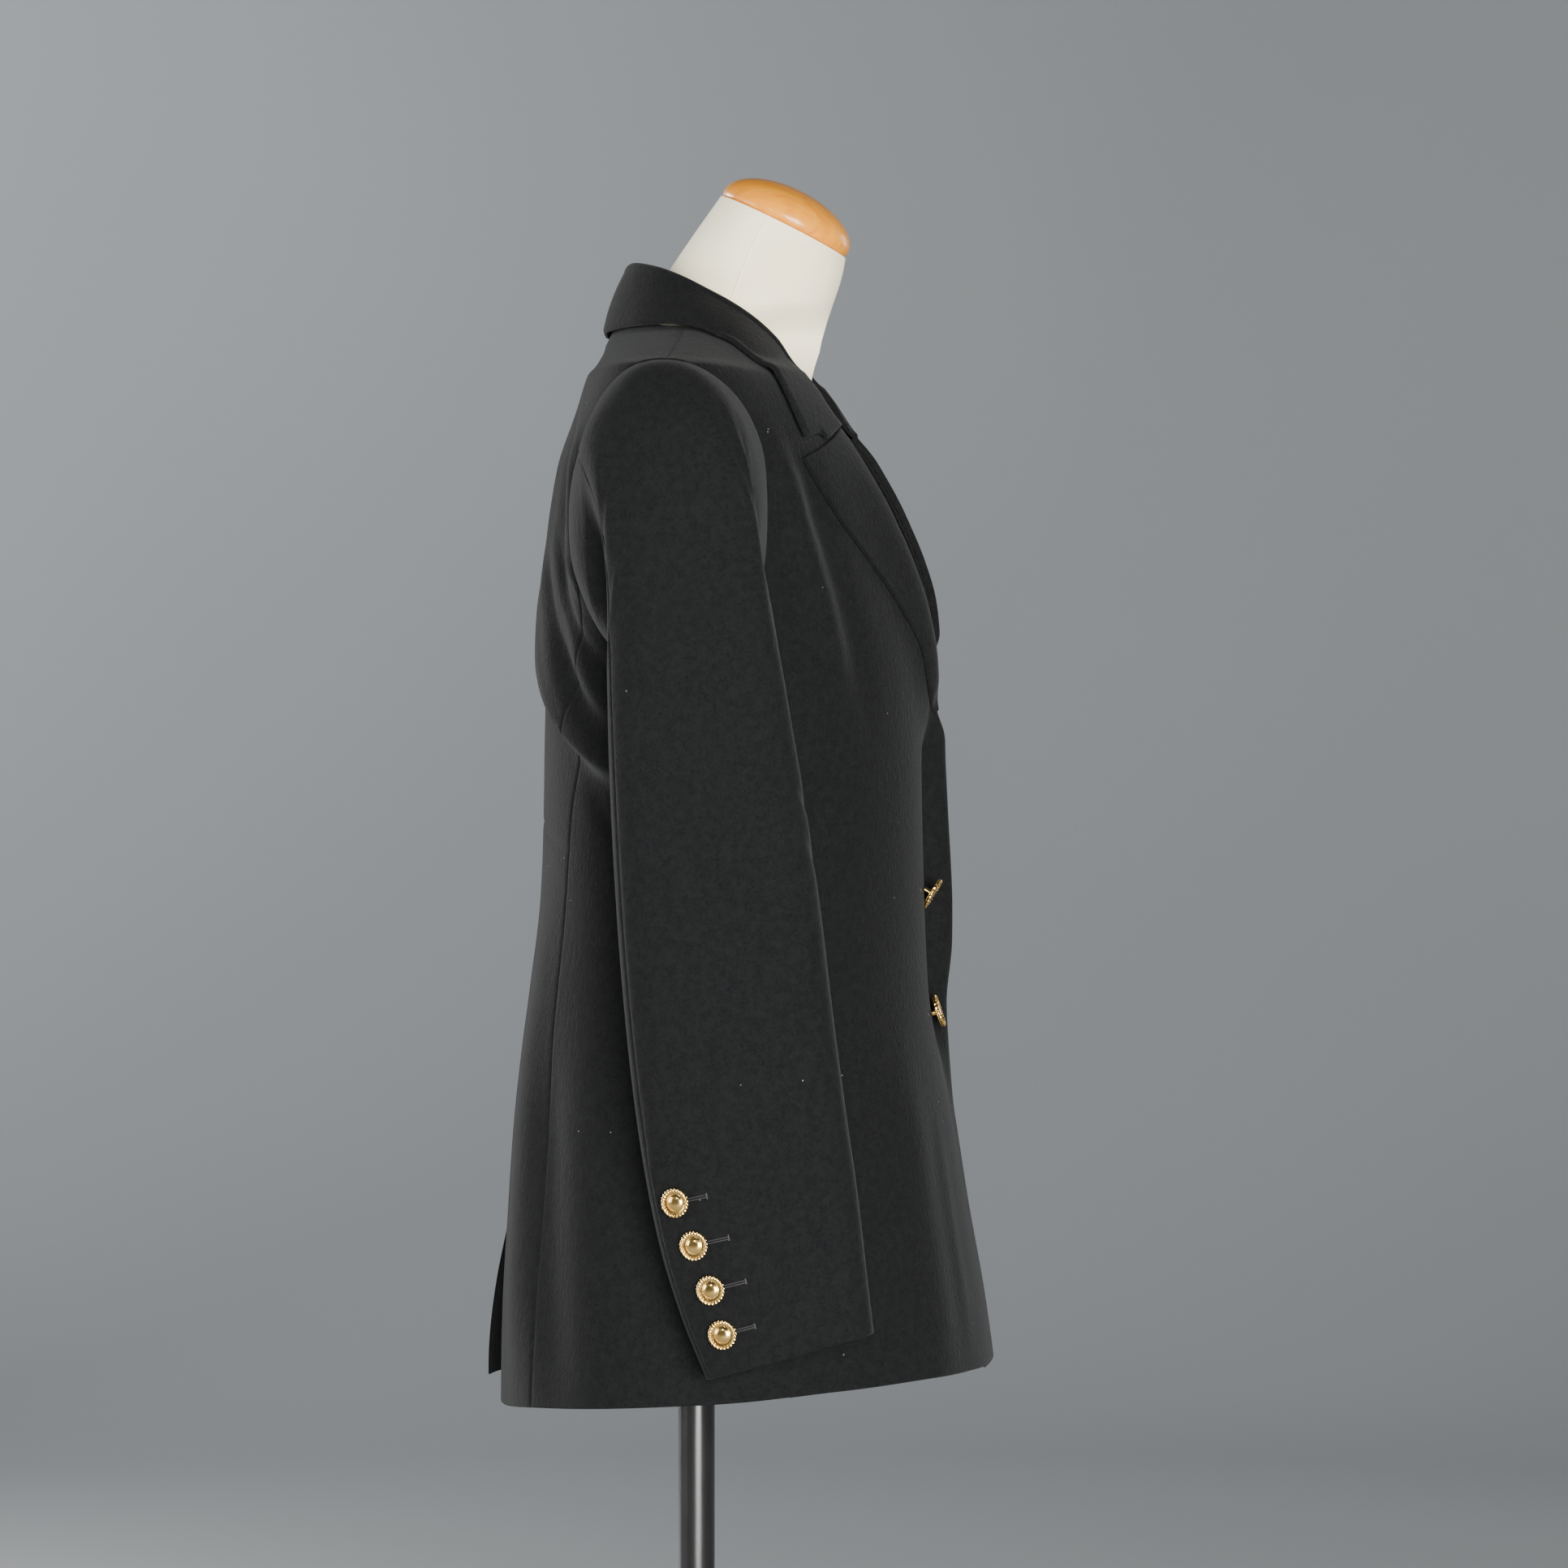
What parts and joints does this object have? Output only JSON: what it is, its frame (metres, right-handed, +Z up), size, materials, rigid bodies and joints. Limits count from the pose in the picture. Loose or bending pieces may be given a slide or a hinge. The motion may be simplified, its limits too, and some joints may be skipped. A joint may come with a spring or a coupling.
{
  "type": "blazer on dress form",
  "caption": "Single-breasted wool jacket with notched lapels and two-piece sleeves, open at neck, hem and cuffs, standing on a limbless dress form with a pole and a round base.",
  "frame": {"origin": "centre of the base's underside, on the pole's axis", "axes": "+Z up along the pole; the jacket's front faces -Y and the wearer's right side is at -X"},
  "size_m": [0.54, 0.3619, 1.4716],
  "materials": {
    "wool": "matte black wool crepe",
    "gold": "polished, gold coloured",
    "canvas": "stretched cream jersey",
    "varnished_wood": "amber gloss varnish",
    "black_metal": "gloss black"
  },
  "bodies": {
    "root": {"back_left": "wool", "side_panel_left": "wool", "front_left": "wool", "top_sleeve_left": "wool", "under_sleeve_left": "wool", "lapel_left": "wool", "cuff_button_left_1": "gold", "cuff_button_left_2": "gold", "cuff_button_left_3": "gold", "cuff_button_left_4": "gold", "back_right": "wool", "side_panel_right": "wool", "front_right": "wool", "top_sleeve_right": "wool", "under_sleeve_right": "wool", "lapel_right": "wool", "cuff_button_right_1": "gold", "cuff_button_right_2": "gold", "cuff_button_right_3": "gold", "cuff_button_right_4": "gold", "collar": "wool", "front_button_1": "gold", "front_button_2": "gold", "form_torso": "canvas", "form_cap": "varnished_wood", "form_pole": "black_metal", "form_socket": "black_metal", "form_base": "black_metal"}
  },
  "joints": []
}
